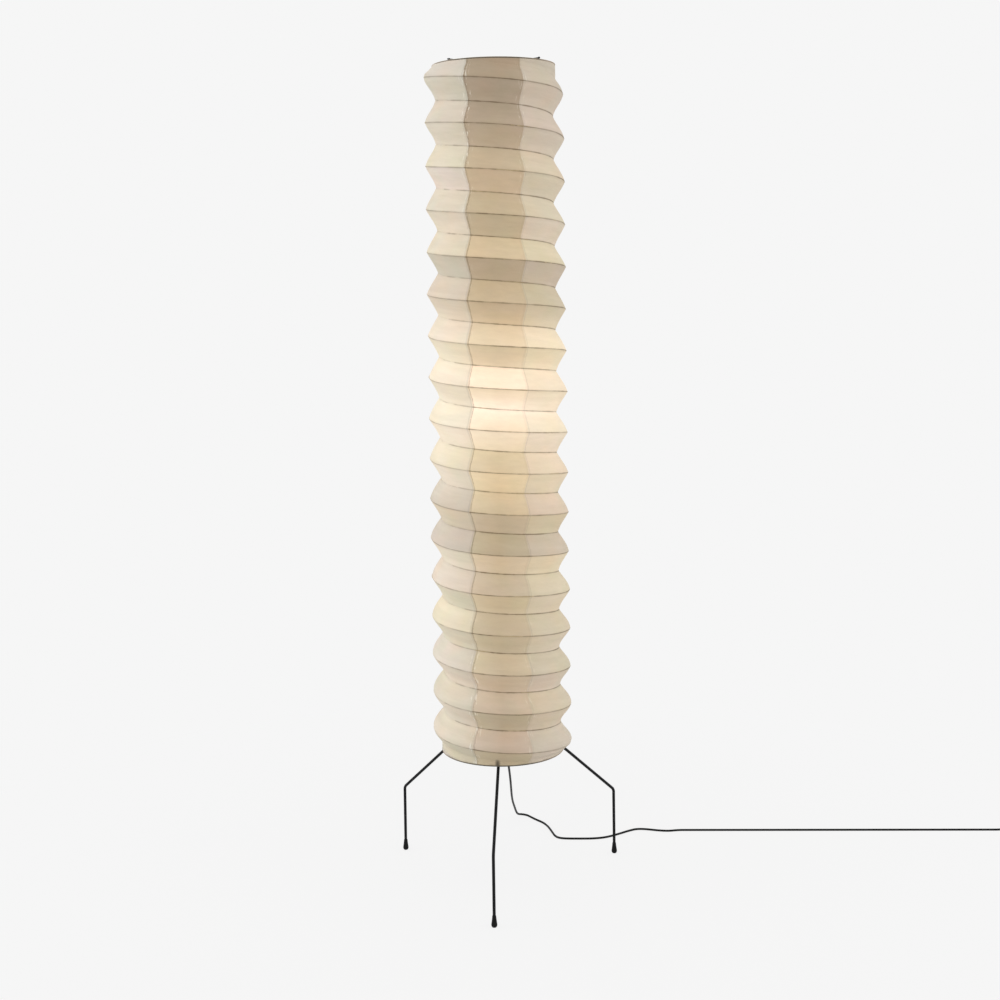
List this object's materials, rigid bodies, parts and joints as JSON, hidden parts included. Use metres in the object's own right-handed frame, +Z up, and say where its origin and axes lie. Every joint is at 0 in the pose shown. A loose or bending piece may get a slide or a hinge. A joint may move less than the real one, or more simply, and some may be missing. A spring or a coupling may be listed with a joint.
{
  "type": "paper lantern floor lamp",
  "caption": "Tall cylindrical floor lamp: a pleated paper shade on a bamboo helix over a thin rod tripod, with one bulb inside and a lead with a foot switch.",
  "frame": {"origin": "middle of the footprint of the lamp on the floor; the lamp's axis stands 72 mm behind it", "axes": "+Z up along the shade, -Y towards the front leg, +X to the right, where the lead runs"},
  "size_m": [1.7554, 0.7151, 1.9407],
  "materials": {
    "paper": "matte",
    "bamboo": "matte",
    "black_rod": "satin",
    "wire": "satin",
    "rubber": "matte",
    "turned_steel": "satin",
    "pole_tube": "satin",
    "holder_plastic": "matte",
    "ceramic": "gloss",
    "brass": "satin",
    "opal_glass": "gloss",
    "filament": "matte",
    "lead": "satin",
    "black_plastic": "satin",
    "button_plastic": "gloss",
    "pin_metal": "gloss"
  },
  "bodies": {
    "stand": {"paper_shade": "paper", "ridge_rib": "bamboo", "valley_rib": "bamboo", "leg_front": "black_rod", "leg_left": "black_rod", "leg_right": "black_rod", "hoop_peg_front": "black_rod", "hoop_peg_left": "black_rod", "hoop_peg_right": "black_rod", "top_hoop": "wire", "cross_arm_front_right": "wire", "cross_arm_back_right": "wire", "cross_arm_back_left": "wire", "cross_arm_front_left": "wire", "boot_front": "rubber", "boot_left": "rubber", "boot_right": "rubber", "lead_gland": "rubber", "leg_hub": "turned_steel", "pole_joint_pin": "turned_steel", "pole_set_screw": "turned_steel", "top_stud": "turned_steel", "cross_boss": "turned_steel", "bracket_collar": "turned_steel", "clamp_screw": "turned_steel", "bracket_bar": "turned_steel", "holder_nipple": "turned_steel", "nipple_nuts": "turned_steel", "lower_pole": "pole_tube", "upper_pole": "pole_tube", "holder_cap": "holder_plastic", "holder_barrel": "holder_plastic", "holder_insert": "ceramic", "screw_shell": "brass", "centre_contact": "brass", "lead_inside": "lead", "lead_to_switch": "lead", "lead_to_coil": "lead", "lead_coil": "lead", "lead_tail": "lead", "lead_clips": "black_plastic", "switch_base": "black_plastic", "switch_cover": "black_plastic", "switch_works": "black_plastic", "plug_body": "black_plastic", "coil_tie": "black_plastic", "plug_pins": "pin_metal"},
    "bottom_hoop_body": {"bottom_hoop": "wire"},
    "bulb": {"bulb_tip": "brass", "bulb_insulator": "ceramic", "bulb_base": "brass", "bulb_glass": "opal_glass", "bulb_stem": "opal_glass", "bulb_filament": "filament"},
    "nut": {"top_nut": "turned_steel"},
    "button": {"switch_button": "button_plastic"}
  },
  "joints": [
    {"name": "shade_fold", "type": "slide", "parent": "stand", "child": "bottom_hoop_body", "axis": [0, 0, 1], "range_m": [0, 1.53], "deforming": ["paper_shade", "ridge_rib", "valley_rib"]},
    {"name": "bulb_turn", "type": "hinge", "parent": "stand", "child": "bulb", "pos_m": [0, 0.026, 1.05], "axis": [0, 0, 1], "continuous": true},
    {"name": "top_nut_turn", "type": "hinge", "parent": "stand", "child": "nut", "pos_m": [0, 0.072, 1.938], "axis": [0, 0, 1], "continuous": true},
    {"name": "switch_press", "type": "slide", "parent": "stand", "child": "button", "axis": [0, 0, -1], "range_m": [0, 0.003], "stiffness_N_per_m": 300, "springref_m": -0.002}
  ]
}
